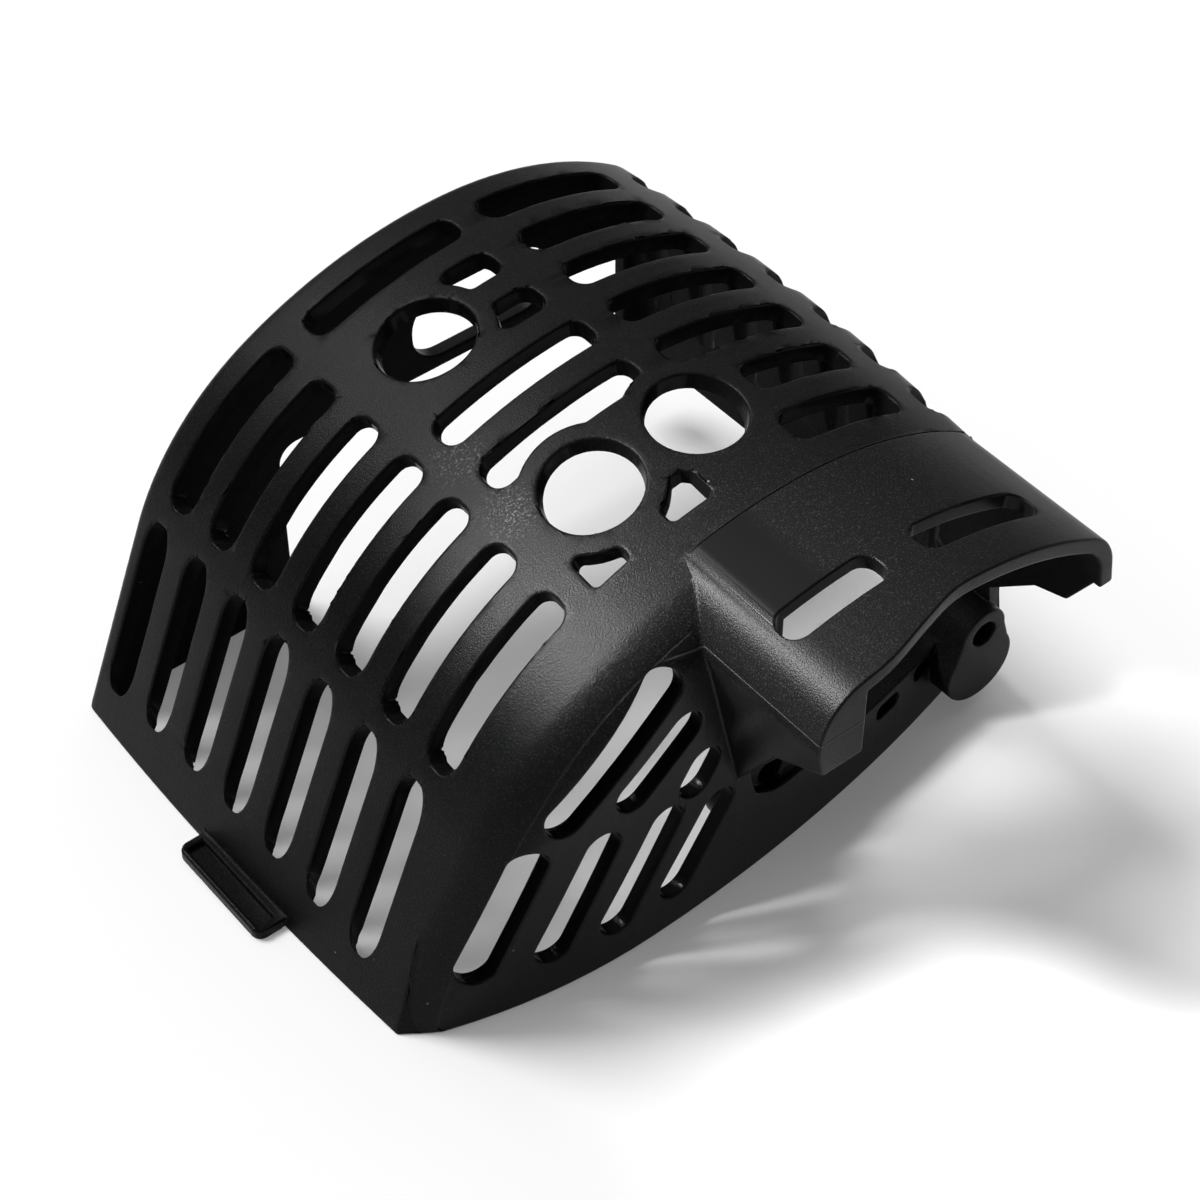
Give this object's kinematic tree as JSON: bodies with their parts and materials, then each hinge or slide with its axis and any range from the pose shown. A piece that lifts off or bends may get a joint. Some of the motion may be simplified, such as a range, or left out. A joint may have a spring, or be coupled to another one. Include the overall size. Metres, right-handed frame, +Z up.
{
  "type": "engine muffler cover",
  "caption": "Slotted vaulted plastic guard that stands over an engine muffler, with an outlet hood on one end wall and screw lugs beside the outlet.",
  "frame": {"origin": "centre of the bounding box on the plane of the bottom rim", "axes": "+X from the front rim with the tongue to the back rim, +Y from the outlet hood to the engine end, +Z up from the rim to the crown"},
  "size_m": [0.1492, 0.1386, 0.0828],
  "materials": {
    "body_plastic": "black, finely grained, satin"
  },
  "bodies": {
    "root": {"muffler_cover": "body_plastic"}
  },
  "joints": []
}
